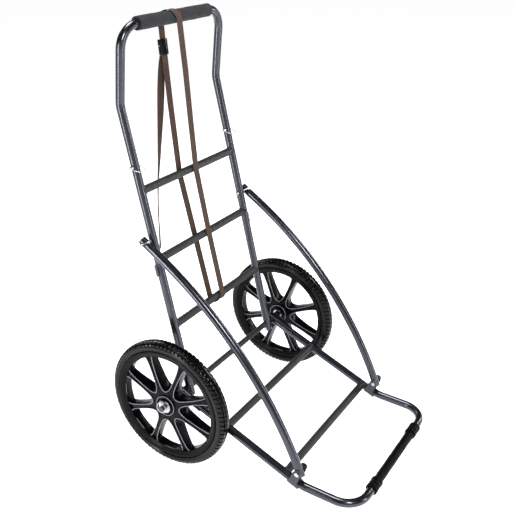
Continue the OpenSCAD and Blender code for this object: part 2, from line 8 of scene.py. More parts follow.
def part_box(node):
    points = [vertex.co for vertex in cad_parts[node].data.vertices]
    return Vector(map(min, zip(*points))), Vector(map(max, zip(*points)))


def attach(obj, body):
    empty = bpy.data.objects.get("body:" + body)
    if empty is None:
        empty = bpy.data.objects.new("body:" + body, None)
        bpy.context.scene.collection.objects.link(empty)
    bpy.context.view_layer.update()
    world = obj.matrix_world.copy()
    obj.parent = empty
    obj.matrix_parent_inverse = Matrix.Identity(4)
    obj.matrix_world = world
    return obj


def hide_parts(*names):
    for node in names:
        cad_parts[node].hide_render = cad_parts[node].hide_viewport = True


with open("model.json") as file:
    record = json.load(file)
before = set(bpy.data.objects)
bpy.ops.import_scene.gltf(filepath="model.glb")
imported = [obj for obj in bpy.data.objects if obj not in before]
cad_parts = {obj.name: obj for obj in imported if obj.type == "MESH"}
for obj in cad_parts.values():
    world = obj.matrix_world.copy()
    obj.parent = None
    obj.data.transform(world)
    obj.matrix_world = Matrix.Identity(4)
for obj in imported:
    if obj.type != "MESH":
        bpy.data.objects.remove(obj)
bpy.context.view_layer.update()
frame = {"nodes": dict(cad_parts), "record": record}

# ---------------------------------------------------------------- main places, in metres
AXLE = Vector((0.0, 0.200, 0.203))
LEAN = math.radians(12.8)
NOSE_FALL = math.radians(23.3)
BACK_X = 0.2325
NOSE_X = 0.268
WHEEL_X = 0.332
TUBE_R = 0.0127
RUNG_R = 0.012
RUNGS = (0.205, 0.4145, 0.622)
NOSE_RUNGS = (0.173, 0.391)
RAIL_PIN_S = 0.478
UPPER_PIN_S = 0.692
END_BOLT_S = -0.018
HANDLE_BEND_S = 0.867      # where the uprights bend into the handle
HANDLE_RISE = 0.211        # from that bend to the grip
HANDLE_TILT = math.radians(5.9)
HOOP_S = 0.446             # where the nose rails bend into the front hoop
HOOP_REACH = 0.178         # from that bend to the front bar
FOOT_X, FOOT_Z, FOOT_R = 0.150, 0.017, 0.018
GRIP_R = 0.0195
COVER_R = 0.0142
HUB_HALF = 0.025
AXLE_BORE = 0.00805
SNUG = 0.00005             # a sleeve's bore over its tube
X = Vector((1, 0, 0))


def up(s, x=0.0):
    """A point at distance s along the uprights' line."""
    return Vector((x, AXLE.y + s * math.sin(LEAN), AXLE.z + s * math.cos(LEAN)))


def down(s, x=0.0):
    """A point at distance s down the nose rails' line."""
    return Vector((x, AXLE.y - s * math.cos(NOSE_FALL), AXLE.z - s * math.sin(NOSE_FALL)))


UP_DIR = Vector((0, math.sin(LEAN), math.cos(LEAN)))
DOWN_DIR = Vector((0, -math.cos(NOSE_FALL), -math.sin(NOSE_FALL)))

# ---------------------------------------------------------------- camera
CAMERA_AT = Vector((-1.8392, -1.0272, 1.5492))
LOOK_AT = Vector((0.1247, 0.1722, 0.5026))
CAMERA_ROLL = 0.0044
LENS, SENSOR = 54.44, 36.0

camera_data = bpy.data.cameras.new("camera")
camera_data.lens = LENS
camera_data.sensor_width = SENSOR
camera_data.clip_end = 50.0
camera = bpy.data.objects.new("camera", camera_data)
bpy.context.scene.collection.objects.link(camera)
camera.matrix_world = (Matrix.Translation(CAMERA_AT)
                       @ (LOOK_AT - CAMERA_AT).to_track_quat("-Z", "Y").to_matrix().to_4x4()
                       @ Matrix.Rotation(-CAMERA_ROLL, 4, "Z"))
bpy.context.scene.camera = camera


# ---------------------------------------------------------------- materials
NOISE_ROUGHNESS = 0.6


def srgb(r, g, b):
    """Linear colour of an sRGB triple from 0 to 255."""
    return tuple(((c / 255 + 0.055) / 1.055) ** 2.4 if c > 10 else c / 255 / 12.92
                 for c in (r, g, b)) + (1.0,)


def scale_colour(c, k):
    """The colour made lighter or darker, with no part above 1."""
    return tuple(min(v * k, 1.0) for v in c[:3]) + (1.0,)


class Shader:
    """A small helper that builds one node material."""

    def __init__(self, name):
        self.mat = bpy.data.materials.new(name)
        self.mat.use_nodes = True
        self.tree = self.mat.node_tree
        self.bsdf = self.tree.nodes["Principled BSDF"]
        self.coords = self.node("ShaderNodeTexCoord")

    def node(self, kind, **inputs):
        n = self.tree.nodes.new(kind)
        for key, value in inputs.items():
            n.inputs[key.replace("_", " ")].default_value = value
        return n

    def link(self, a, b):
        self.tree.links.new(a, b)

    def noise(self, scale, detail, stretch=None):
        source = self.coords.outputs["Object"]
        if stretch:
            mapping = self.node("ShaderNodeMapping")
            mapping.inputs["Scale"].default_value = stretch
            self.link(source, mapping.inputs["Vector"])
            source = mapping.outputs["Vector"]
        n = self.node("ShaderNodeTexNoise", Scale=scale, Detail=detail,
                      Roughness=NOISE_ROUGHNESS)
        self.link(source, n.inputs["Vector"])
        return n.outputs["Fac"]

    def ramp(self, fac, low, high, a=0.35, b=0.65):
        r = self.node("ShaderNodeValToRGB")
        r.color_ramp.elements[0].position = a
        r.color_ramp.elements[0].color = low
        r.color_ramp.elements[1].position = b
        r.color_ramp.elements[1].color = high
        self.link(fac, r.inputs["Fac"])
        return r.outputs["Color"]

    def spread(self, fac, low, high, a=0.3, b=0.7):
        m = self.node("ShaderNodeMapRange")
        for key, value in (("From Min", a), ("From Max", b), ("To Min", low), ("To Max", high)):
            m.inputs[key].default_value = value
        self.link(fac, m.inputs["Value"])
        return m.outputs["Result"]

    def bump(self, height, strength, distance, after=None):
        b = self.node("ShaderNodeBump", Strength=strength, Distance=distance)
        self.link(height, b.inputs["Height"])
        if after is not None:
            self.link(after, b.inputs["Normal"])
        return b.outputs["Normal"]

    def finish(self, colour=None, roughness=None, normal=None, **constants):
        for socket, output in (("Base Color", colour), ("Roughness", roughness),
                               ("Normal", normal)):
            if output is not None:
                self.link(output, self.bsdf.inputs[socket])
        for key, value in constants.items():
            self.bsdf.inputs[key.replace("_", " ")].default_value = value
        return self.mat


def coated_metal(name, colour, metallic, rough, coat, flake=0.04):
    """Powder coat: metal flake under a clear layer, orange peel, and faint handling marks."""
    s = Shader(name)
    fine = s.noise(2600.0, 2.0)
    cloud = s.noise(14.0, 4.0)
    mixed = s.node("ShaderNodeMix")
    mixed.data_type = "RGBA"
    mixed.inputs["Factor"].default_value = 0.35
    s.link(s.ramp(fine, scale_colour(colour, 1 - flake), scale_colour(colour, 1 + 2 * flake)),
           mixed.inputs["A"])
    s.link(s.ramp(cloud, scale_colour(colour, 0.88), scale_colour(colour, 1.12)),
           mixed.inputs["B"])
    peel = s.bump(s.noise(300.0, 2.0), 0.015, 0.0003)
    grit = s.bump(fine, 0.015, 0.0001, peel)
    rough_out = s.spread(s.noise(60.0, 5.0), rough - 0.02, rough + 0.03)
    return s.finish(mixed.outputs["Result"], rough_out, grit, Metallic=metallic,
                    Coat_Weight=coat, Coat_Roughness=0.16, Specular_IOR_Level=0.30)


def plated(name, colour, rough, metallic=1.0):
    """Zinc plate or plain steel: faint spangle and drawn scratches."""
    s = Shader(name)
    spangle = s.noise(900.0, 3.0)
    scratch = s.noise(260.0, 4.0, stretch=(0.15, 4.0, 4.0))
    colour_out = s.ramp(spangle, scale_colour(colour, 0.82), scale_colour(colour, 1.08))
    rough_out = s.spread(scratch, rough - 0.07, rough + 0.12)
    return s.finish(colour_out, rough_out, s.bump(scratch, 0.12, 0.0003), Metallic=metallic)


def moulded(name, colour, rough, grain, strength, coat=0.0):
    """Moulded plastic or rubber: pebbled grain, and a lighter bloom in patches."""
    s = Shader(name)
    pebble = s.noise(grain, 2.0)
    bloom = s.noise(22.0, 5.0)
    colour_out = s.ramp(bloom, colour, scale_colour(colour, 1.35), 0.35, 0.8)
    rough_out = s.spread(s.noise(90.0, 4.0), rough - 0.06, rough + 0.08)
    return s.finish(colour_out, rough_out, s.bump(pebble, strength, 0.0004),
                    Coat_Weight=coat, Coat_Roughness=0.12, Specular_IOR_Level=0.05)


def foam(name, colour):
    """Closed-cell foam: a matt skin with fine open cells."""
    s = Shader(name)
    cells = s.node("ShaderNodeTexVoronoi", Scale=900.0)
    s.link(s.coords.outputs["Object"], cells.inputs["Vector"])
    soft = s.noise(160.0, 5.0)
    colour_out = s.ramp(s.noise(40.0, 5.0), scale_colour(colour, 0.86), scale_colour(colour, 1.16))
    normal = s.bump(cells.outputs["Distance"], 0.35, 0.0004, s.bump(soft, 0.25, 0.0006))
    return s.finish(colour_out, s.spread(soft, 0.72, 0.9), normal, Sheen_Weight=0.03,
                    Sheen_Roughness=0.5, Specular_IOR_Level=0.2)


def webbing(name, colour):
    """Plain-woven tape: warp ribs along it, weft picks across, and a plain selvedge."""
    s = Shader(name)
    warp = s.node("ShaderNodeTexWave", Scale=105.0, Distortion=1.2, Detail=1.0, Detail_Scale=3.0)
    warp.bands_direction = "Y"
    weft = s.node("ShaderNodeTexWave", Scale=150.0, Distortion=0.8, Detail=1.0, Detail_Scale=3.0)
    weft.bands_direction = "X"
    for wave in (warp, weft):
        s.link(s.coords.outputs["UV"], wave.inputs["Vector"])
    weave = s.node("ShaderNodeMath")
    weave.operation = "MULTIPLY"
    s.link(warp.outputs["Fac"], weave.inputs[0])
    s.link(weft.outputs["Fac"], weave.inputs[1])
    fibres = s.noise(1800.0, 3.0, stretch=(1.0, 1.0, 0.12))
    mixed = s.node("ShaderNodeMix")
    mixed.data_type = "RGBA"
    mixed.inputs["Factor"].default_value = 0.4
    s.link(s.ramp(weave.outputs["Value"], scale_colour(colour, 0.62), scale_colour(colour, 1.25),
                  0.05, 0.7), mixed.inputs["A"])
    s.link(s.ramp(s.noise(30.0, 5.0), scale_colour(colour, 0.8), scale_colour(colour, 1.2)),
           mixed.inputs["B"])
    normal = s.bump(weave.outputs["Value"], 0.7, 0.0005, s.bump(fibres, 0.25, 0.0002))
    return s.finish(mixed.outputs["Result"], s.spread(fibres, 0.72, 0.92), normal,
                    Sheen_Weight=0.06, Sheen_Roughness=0.4, Specular_IOR_Level=0.2)


MATS = {
    "frame_paint": coated_metal("gunmetal_coat", srgb(62, 64, 70), 0.95, 0.22, 0.16),
    "rung_paint": coated_metal("charcoal_coat", srgb(27, 26, 27), 0.0, 0.50, 0.0),
    "bracket_paint": coated_metal("bracket_coat", srgb(58, 60, 67), 0.70, 0.32, 0.10),
    "weld": coated_metal("coated_weld", srgb(52, 53, 58), 0.6, 0.42, 0.10, 0.08),
    "zinc": plated("zinc_plate", srgb(176, 177, 180), 0.25),
    "axle_steel": plated("axle_bar", srgb(72, 72, 74), 0.40, 0.8),
    "bushing_metal": plated("sintered_bronze", srgb(140, 128, 108), 0.45),
    "black_plastic": moulded("black_plastic", srgb(9, 9, 11), 0.24, 1500.0, 0.04, 0.08),
    "wheel_plastic": moulded("wheel_nylon", srgb(3, 3, 4), 0.24, 1100.0, 0.03, 0.035),
    # The ribs' lighter grey is a painted highlight: the wheel is black nylon all over, and this
    # grey stands in for the shine along its raised ribs.
    "rib": moulded("nylon_rib_painted_highlight", srgb(104, 104, 112), 0.24, 1100.0, 0.03, 0.35),
    "tyre_rubber": moulded("tyre_rubber", srgb(5, 5, 6), 0.22, 700.0, 0.04, 0.24),
    # The feet's black rubber. On the front bar's cover below, the same black is painted shade.
    "black_rubber": moulded("foot_rubber_and_bar_painted_shade", srgb(4, 4, 5), 0.45, 800.0, 0.10),
    "grip_foam": foam("grip_foam", srgb(33, 33, 36)),
    "webbing": webbing("brown_webbing", srgb(66, 51, 43)),
}

for subpart in frame["record"]["subparts"]:
    node = frame["nodes"][subpart["node"]]
    node.data.materials.clear()
    node.data.materials.append(MATS[subpart["material_slot"]])


# ---------------------------------------------------------------- mesh helpers
def add(name, verts, faces, slot, body, replaces=(), uvs=None, sharp=35.0):
    """Makes a mesh piece, in the row frame, that rides on a body."""
    mesh = bpy.data.meshes.new(name)
    mesh.from_pydata([tuple(v) for v in verts], [], faces)
    mesh.validate()
    mesh.update()
    if uvs:
        layer = mesh.uv_layers.new(name="UVMap")
        for loop in mesh.loops:
            layer.data[loop.index].uv = uvs[loop.vertex_index]
    piece = bpy.data.objects.new(name, mesh)
    bpy.context.scene.collection.objects.link(piece)
    mesh.materials.append(MATS[slot])
    mesh.shade_smooth()
    mesh.set_sharp_from_angle(angle=math.radians(sharp))
    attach(piece, body)
    if replaces:
        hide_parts(*replaces)
    return piece


class Bag:
    """Collects several closed shells into one mesh."""

    def __init__(self):
        self.verts, self.faces = [], []

    def put(self, verts, faces):
        base = len(self.verts)
        self.verts += [Vector(v) for v in verts]
        self.faces += [tuple(base + i for i in f) for f in faces]
        return self

    def moved(self, matrix):
        self.verts = [matrix @ v for v in self.verts]
        return self

    def add(self, name, slot, body, **options):
        return add(name, self.verts, self.faces, slot, body, **options)


def grid_faces(rows, cols, wrap_rows=False, wrap_cols=True):
    """Quads of a grid whose vertex (i, j) has index i * cols + j."""
    faces = []
    for i in range(rows if wrap_rows else rows - 1):
        for j in range(cols if wrap_cols else cols - 1):
            k, n = (i + 1) % rows, (j + 1) % cols
            faces.append((i * cols + j, i * cols + n, k * cols + n, k * cols + j))
    return faces


def ring(profile, centre, segs, shape=None):
    """Closed ring about X: profile is a closed loop of (x, r). shape(x, r, a) may change r."""
    verts = []
    for x, r in profile:
        for j in range(segs):
            a = 2 * math.pi * j / segs
            rr = shape(x, r, a) if shape else r
            verts.append((centre[0] + x, centre[1] + rr * math.cos(a),
                          centre[2] + rr * math.sin(a)))
    return verts, [f[::-1] for f in grid_faces(len(profile), segs, wrap_rows=True)]


def spindle(profile, centre, segs, shape=None):
    """Solid about X from a run of (x, r), closed at both ends by a point."""
    inner = profile[1:-1]
    verts, _ = ring(inner, centre, segs, shape)
    faces = [f[::-1] for f in grid_faces(len(inner), segs)]
    first, last = len(verts), len(verts) + 1
    verts = verts + [(centre[0] + profile[0][0], centre[1], centre[2]),
                     (centre[0] + profile[-1][0], centre[1], centre[2])]
    top = (len(inner) - 1) * segs
    for j in range(segs):
        n = (j + 1) % segs
        faces.append((j, n, first)[::-1] if profile[0][0] < profile[-1][0] else (j, n, first))
        faces.append((top + j, top + n, last) if profile[0][0] < profile[-1][0]
                     else (top + j, top + n, last)[::-1])
    return verts, faces


def smooth_path(points, per, closed=False):
    """Catmull-Rom line through the points."""
    pts = [Vector(p) for p in points]
    n = len(pts)
    out = []
    for i in range(n if closed else n - 1):
        p0 = pts[(i - 1) % n] if closed or i > 0 else pts[i]
        p1, p2 = pts[i], pts[(i + 1) % n]
        p3 = pts[(i + 2) % n] if closed or i + 2 < n else p2
        for k in range(per):
            t = k / per
            out.append(0.5 * ((2 * p1) + (p2 - p0) * t + (2 * p0 - 5 * p1 + 4 * p2 - p3) * t * t
                              + (3 * p1 - p0 - 3 * p2 + p3) * t ** 3))
    return out if closed else out + [pts[-1]]


def wire(points, radius, segs, closed=False, ripple=None):
    """Round wire along a line, with capped ends. ripple(i) scales the radius at point i."""
    n = len(points)
    verts, normal = [], None
    for i, p in enumerate(points):
        a = points[(i - 1) % n] if closed or i > 0 else points[i]
        b = points[(i + 1) % n] if closed or i < n - 1 else points[i]
        t = (b - a).normalized()
        if normal is None:
            normal = t.orthogonal().normalized()
        normal = (normal - t * normal.dot(t)).normalized()
        side = t.cross(normal)
        r = radius * (ripple(i) if ripple else 1.0)
        for j in range(segs):
            c = 2 * math.pi * j / segs
            verts.append(p + r * (math.cos(c) * normal + math.sin(c) * side))
    if closed:
        # turn the last ring to meet the first with the least twist
        last, first = verts[-segs:], verts[:segs]
        best = min(range(segs), key=lambda k: sum(
            (last[j] - first[(j + k) % segs]).length for j in range(segs)))
        faces = grid_faces(n, segs)
        base = (n - 1) * segs
        for j in range(segs):
            m = (j + 1) % segs
            faces.append((base + j, base + m, (m + best) % segs, (j + best) % segs))
        return verts, faces
    faces = grid_faces(n, segs)
    faces.append(tuple(range(segs))[::-1])
    faces.append(tuple((n - 1) * segs + j for j in range(segs)))
    return verts, faces


def block(low, high, bevel, matrix):
    """A box with all its edges rounded off by a bevel, as one closed shell, then placed."""
    lo, hi = Vector(low), Vector(high)
    verts, index, faces = [], {}, []
    size = hi - lo
    n = 6

    def coordinate(k, axis):
        full, soft = size[axis], 0.35 * bevel
        return lo[axis] + (0.0, soft, bevel, full - bevel, full - soft, full)[k]

    def place(i, j, k):
        key = (i, j, k)
        if key not in index:
            p = Vector((coordinate(i, 0), coordinate(j, 1), coordinate(k, 2)))
            inner = Vector([min(max(p[a], lo[a] + bevel), hi[a] - bevel) for a in range(3)])
            off = p - inner
            if off.length > 1e-9:
                p = inner + off.normalized() * bevel
            index[key] = len(verts)
            verts.append(p)
        return index[key]

    for axis in range(3):
        for end in (0, n - 1):
            for a in range(n - 1):
                for b in range(n - 1):
                    quad = []
                    for da, db in ((0, 0), (1, 0), (1, 1), (0, 1)):
                        ijk = [0, 0, 0]
                        ijk[axis] = end
                        ijk[(axis + 1) % 3] = a + da
                        ijk[(axis + 2) % 3] = b + db
                        quad.append(place(*ijk))
                    faces.append(tuple(quad) if end else tuple(quad[::-1]))
    return [matrix @ v for v in verts], faces


# ---------------------------------------------------------------- webbing: tail first, then loop
STRAP_W = 0.026
STRAP_T = 0.0016
TAPE = [(-.5, -.25), (-.485, -.46), (-.44, -.5), (-.40, -.42), (-.2, -.40), (0, -.40), (.2, -.40),
        (.40, -.42), (.44, -.5), (.485, -.46), (.5, -.25), (.5, .25), (.485, .46), (.44, .5),
        (.40, .42), (.2, .40), (0, .40), (-.2, .40), (-.40, .42), (-.44, .5), (-.485, .46),
        (-.5, .25)]


def tape(points, yaws, width=STRAP_W, thick=STRAP_T):
    """Flat tape along a line. Each yaw turns its width about Z from +X, in degrees."""
    n, cols = len(points), len(TAPE)
    verts, uvs, along = [], [], 0.0
    for i, p in enumerate(points):
        t = (points[min(i + 1, n - 1)] - points[max(i - 1, 0)]).normalized()
        yaw = math.radians(yaws[i])
        side = Vector((math.cos(yaw), math.sin(yaw), 0))
        side = (side - t * side.dot(t)).normalized()
        face = t.cross(side)
        if i:
            along += (p - points[i - 1]).length
        for u, v in TAPE:
            verts.append(p + side * (u * width) + face * (v * thick))
            uvs.append((along, u * width))
    faces = grid_faces(n, cols)
    faces.append(tuple(range(cols))[::-1])
    faces.append(tuple((n - 1) * cols + j for j in range(cols)))
    return verts, faces, uvs


# (x, y, z) in millimetres, and the yaw of the width in degrees
TAIL = [(-40, 386.5, 1154, -8), (-41, 392, 1122, -12), (-41.5, 397, 1080, -14),
        (-43, 400, 1035, -14), (-45, 403, 985, -8), (-48, 406, 935, 2), (-51, 409, 885, 12),
        (-54, 412, 835, 20), (-58, 415, 785, 27), (-60, 418, 735, 31), (-62, 419, 685, 32),
        (-63, 419, 635, 32), (-63, 419, 590, 30), (-63, 419, 550, 28)]
tail_line = smooth_path([Vector(p[:3]) / 1000 for p in TAIL], 5)
tail_yaws = [v.x for v in smooth_path([Vector((p[3], 0, 0)) for p in TAIL], 5)]
tail_verts, tail_faces, tail_uvs = tape(tail_line, tail_yaws)
tail = add("strap_tail_webbing", tail_verts, tail_faces, "webbing", "back_frame",
           replaces=["strap_tail"], uvs=tail_uvs, sharp=60)

GRIP_Y = up(HANDLE_BEND_S).y - HANDLE_RISE * math.sin(HANDLE_TILT)
GRIP_Z = up(HANDLE_BEND_S).z + HANDLE_RISE * math.cos(HANDLE_TILT)
LAP = RUNG_R + 0.001 + STRAP_T / 2
GRIP_LAP = GRIP_R + 0.0004 + STRAP_T / 2
LAP_LOW, LAP_TOP = LAP + 0.0003, LAP + 0.0005


def round_rung(s, angle, r, x):
    """A point round the rung at s, by its angle from straight behind; x in millimetres."""
    a = math.radians(angle) - LEAN
    p = up(s)
    return Vector((x / 1000, p.y + r * math.cos(a), p.z + r * math.sin(a)))


def round_grip(angle, x):
    """A point round the grip, by its angle from straight back; x in millimetres."""
    a = math.radians(angle)
    return Vector((x / 1000, GRIP_Y + GRIP_LAP * math.cos(a), GRIP_Z + GRIP_LAP * math.sin(a)))


BACK_STRAND = ((-40, 381, 1161), (-40, 380, 1155), (-38, 370, 1020), (-36, 360, 905))
FRONT_STRAND = ((10, 334, 960), (4, 341, 1110))
TO_BUCKLE = ((-40, 386, 1225), (-40, 384.5, 1201.5), (-40, 382.6, 1195))
loop_line = [Vector(p) / 1000 for p in BACK_STRAND]
loop_line += [round_rung(RUNGS[2], 0, LAP_TOP, -34), round_rung(RUNGS[1], 0, LAP_LOW, -29)]
loop_line += [round_rung(RUNGS[0], 2 - i * 15.25, LAP, -24 + i * 31 / 12) for i in range(13)]
loop_line += [round_rung(RUNGS[1], -180, LAP_LOW, 7), round_rung(RUNGS[2], -180, LAP_TOP, 13)]
loop_line += [Vector(p) / 1000 for p in FRONT_STRAND]
loop_line += [round_grip(180 - i * 19, -4 - i * 3.5) for i in range(11)]
loop_line += [Vector(p) / 1000 for p in TO_BUCKLE]


def eased(points, longest=0.02):
    """The line with its long straight runs cut up, so that a smooth line through it stays put."""
    out = [points[0]]
    for a, b in zip(points, points[1:]):
        parts = max(1, math.ceil((b - a).length / longest))
        out += [a.lerp(b, k / parts) for k in range(1, parts + 1)]
    return out


loop_points = smooth_path(eased(loop_line), 2)
loop_verts, loop_faces, loop_uvs = tape(loop_points, [0.0] * len(loop_points))
add("strap_loop_webbing", loop_verts, loop_faces, "webbing", "back_frame",
    replaces=["strap_loop"], uvs=loop_uvs, sharp=60)

# ---------------------------------------------------------------- floor and light
FLOOR = 25.0  # metres from the middle to each edge
floor_mesh = bpy.data.meshes.new("floor")
floor_mesh.from_pydata([(-FLOOR, -FLOOR, 0), (FLOOR, -FLOOR, 0), (FLOOR, FLOOR, 0),
                        (-FLOOR, FLOOR, 0)], [], [(0, 1, 2, 3)])
floor = bpy.data.objects.new("floor", floor_mesh)
bpy.context.scene.collection.objects.link(floor)
paper = Shader("studio_floor")
floor_mesh.materials.append(paper.finish(
    paper.ramp(paper.noise(0.8, 2.0), (0.90, 0.90, 0.90, 1), (0.93, 0.93, 0.93, 1)),
    paper.spread(paper.noise(3.0, 2.0), 0.85, 0.95), Specular_IOR_Level=0.0,
    Emission_Color=(1, 1, 1, 1), Emission_Strength=0.90))

# white at and below the horizon, dark overhead
world = bpy.data.worlds.new("studio")
world.use_nodes = True
sky = world.node_tree
where = sky.nodes.new("ShaderNodeTexCoord")
split = sky.nodes.new("ShaderNodeSeparateXYZ")
glow = sky.nodes.new("ShaderNodeValToRGB")
glow.color_ramp.elements[0].position = 0.02
glow.color_ramp.elements[0].color = (1, 1, 1, 1)
glow.color_ramp.elements[1].position = 0.22
glow.color_ramp.elements[1].color = (0.06, 0.063, 0.07, 1)
sky.links.new(where.outputs["Generated"], split.inputs["Vector"])
sky.links.new(split.outputs["Z"], glow.inputs["Fac"])
sky.links.new(glow.outputs["Color"], sky.nodes["Background"].inputs["Color"])
bpy.context.scene.world = world
bpy.context.scene.view_settings.view_transform = "Standard"


def soft_box(name, at, look, size, power):
    """A rectangular lamp at one point, facing another, and unseen by the camera."""
    data = bpy.data.lights.new(name, "AREA")
    data.shape = "RECTANGLE"
    data.size, data.size_y = size
    data.energy = power
    light = bpy.data.objects.new(name, data)
    light.visible_camera = False
    bpy.context.scene.collection.objects.link(light)
    light.matrix_world = (Matrix.Translation(at) @ (Vector(look) - Vector(at))
                          .to_track_quat("-Z", "Y").to_matrix().to_4x4())


soft_box("key", (-1.9, -2.4, 3.0), (0, 0, 0.5), (0.7, 1.2), 110)
soft_box("left_strip", (-2.1, 0.75, 0.9), (0, 0.1, 0.7), (0.28, 1.6), 34)
soft_box("right_strip", (0.5, -2.6, 0.9), (0, 0, 0.7), (0.22, 1.6), 22)
soft_box("far_strip", (2.9, -1.6, 1.9), (0, 0, 0.5), (0.4, 2.4), 50)
soft_box("top", (0.2, 0.4, 3.4), (0, 0.2, 0), (1.2, 1.2), 80)
soft_box("back", (1.4, 3.4, 2.4), (0, 0.2, 0.6), (2.0, 1.2), 50)


# ---------------------------------------------------------------- weld beads
WELD_OUT = 0.0006          # the bead's line outside the rung
WELD_OFF_TUBE = 0.0002     # and off the tube


def saddle_curve(at, tube_dir, inward, r_rung, r_tube, count=72):
    """The line in which a rung along X meets a tube's round side."""
    across = tube_dir.cross(X).normalized()
    out = []
    for k in range(count):
        a = 2 * math.pi * k / count
        c, s = r_rung * math.cos(a), r_rung * math.sin(a)
        x = math.sqrt(max(r_tube ** 2 - c ** 2, 0.0))
        out.append(at + X * (inward * x) + across * c + tube_dir * s)
    return out


def weld(bag, line, radius=0.0017, beads=26):
    """Adds a closed bead along the line, rippled like a row of weld puddles."""
    n = len(line)
    verts, faces = wire(line, radius, 8, closed=True,
                        ripple=lambda i: 0.86 + 0.2 * abs(math.sin(math.pi * beads * i / n)))
    bag.put(verts, faces)


back_welds, nose_welds = Bag(), Bag()
for side in (-1, 1):
    for s in RUNGS:
        weld(back_welds, saddle_curve(up(s, side * BACK_X), UP_DIR, -side,
                                      RUNG_R + WELD_OUT, TUBE_R + WELD_OFF_TUBE))
    for s in NOSE_RUNGS:
        weld(nose_welds, saddle_curve(down(s, side * NOSE_X), DOWN_DIR, -side,
                                      RUNG_R + WELD_OUT, TUBE_R + WELD_OFF_TUBE))
back_welds.add("back_frame_welds", "weld", "back_frame", sharp=70)
nose_welds.add("nose_frame_welds", "weld", "nose_frame", sharp=70)


# ---------------------------------------------------------------- grip and feet
def rounded(x0, x1, r_out, r_in, edge, extra=()):
    """Closed ring section from x0 to x1 with rounded outer edges, and extra points between."""
    arc = [(edge * (1 - math.cos(t)), edge * (1 - math.sin(t)))
           for t in (0, 0.39, 0.785, 1.18, 1.571)]
    left = [(x0 + e, r_out - d) for e, d in arc]
    right = [(x1 - e, r_out - d) for e, d in arc][::-1]
    return [(x0, r_in)] + left + list(extra) + right + [(x1, r_in)]


GRIP_HALF = 0.169
grip_steps = [(-GRIP_HALF + 0.004 + k * (2 * GRIP_HALF - 0.008) / 96, GRIP_R)
              for k in range(1, 96)]


def grip_skin(x, r, a):
    """Foam gives a little under the strap, and is never quite even."""
    if r < 0.015:
        return r
    squeeze = 0.0011 * math.exp(-((x + 0.018) / 0.017) ** 2) * max(0.0, 0.35 + math.sin(a))
    wave = 0.00018 * math.sin(61 * x + 2 * a) + 0.00012 * math.sin(150 * x + 3 * a)
    return r - squeeze + wave - 0.0003


verts, faces = ring(rounded(-GRIP_HALF, GRIP_HALF, GRIP_R, TUBE_R + SNUG, 0.0035, grip_steps),
                    (0, GRIP_Y, GRIP_Z), 64, grip_skin)
grip = add("foam_grip", verts, faces, "grip_foam", "back_frame", replaces=["grip"])

foot_low, foot_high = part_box("foot_left")
HOOP_BEND = down(HOOP_S)
FOOT_Y = HOOP_BEND.y - HOOP_REACH * math.cos(math.asin((HOOP_BEND.z - FOOT_Z) / HOOP_REACH))
FOOT_LEN = foot_high.x - foot_low.x
for name, x in (("foot_left", -FOOT_X), ("foot_right", FOOT_X)):
    h = FOOT_LEN / 2
    lips = [(-h + 0.010, FOOT_R), (-h + 0.0115, 0.0168), (-0.004, 0.0166), (-0.003, 0.0172),
            (0.003, 0.0172), (0.004, 0.0166), (h - 0.0115, 0.0168), (h - 0.010, FOOT_R)]
    verts, faces = ring(rounded(-h, h, FOOT_R, TUBE_R + SNUG, 0.0022, lips),
                        (x, FOOT_Y, FOOT_Z), 56)
    # flat where it stands on the floor
    verts = [(v[0], v[1], max(v[2], 0.0)) for v in verts]
    add(name + "_sleeve", verts, faces, "black_rubber", "nose_frame", replaces=[name])

# The black cover over the front bar, between the feet, is painted shade: the bar there is dark from
# shade, and this black sleeve stands in for that shade.
COVER_HALF = FOOT_X - FOOT_LEN / 2 - 0.0004
cover_steps = [(-COVER_HALF + 0.002 + k * (2 * COVER_HALF - 0.004) / 60, COVER_R)
               for k in range(1, 60)]


def cover_skin(x, r, a):
    """The cover's outside is a little uneven; its bore is not."""
    return r - (0.0002 * (1 + math.sin(95 * x + 2 * a)) if r > 0.0139 else 0)


verts, faces = ring(rounded(-COVER_HALF, COVER_HALF, COVER_R, TUBE_R + SNUG, 0.0008, cover_steps),
                    (0, FOOT_Y, FOOT_Z), 48, cover_skin)
add("front_bar_painted_shade", verts, faces, "black_rubber", "nose_frame", replaces=["bar_cover"])

# ---------------------------------------------------------------- wheels
SPOKES = 8
HALF_SECTOR = math.pi / SPOKES
PETAL = [(0.0495, 0.0), (0.050, 0.003), (0.053, 0.008), (0.060, 0.0145), (0.072, 0.0212),
         (0.086, 0.0273), (0.100, 0.0333), (0.115, 0.0389), (0.128, 0.0432), (0.139, 0.0462),
         (0.1462, 0.0468), (0.1506, 0.0438), (0.1530, 0.0360), (0.1544, 0.0240), (0.1551, 0.011)]
RIB_W, RIB_R, RECESS = 0.0026, 0.0013, 0.0034
DISC_IN, DISC_OUT = 0.026, 0.1585
WINDOW_MIDDLE = Vector((0.105, 0, 0))
WEB_HUB, WEB_RIM = (0.033, 0.0215), (0.152, 0.013)  # (radius, half thickness)


def web_half(r):
    """Half thickness of the web, thick at the hub and thin at the rim."""
    t = min(max((r - WEB_HUB[0]) / (WEB_RIM[0] - WEB_HUB[0]), 0.0), 1.0)
    return WEB_HUB[1] + (WEB_RIM[1] - WEB_HUB[1]) * t


def petal_curve():
    """Window outline, symmetric about its middle line, evenly stepped."""
    half = [Vector((x, y, 0)) for x, y in PETAL] + [Vector((0.1553, 0, 0))]
    mirrored = [Vector((p.x, -p.y, 0)) for p in half[1:-1]][::-1]
    return smooth_path(half + mirrored, 4, closed=True)


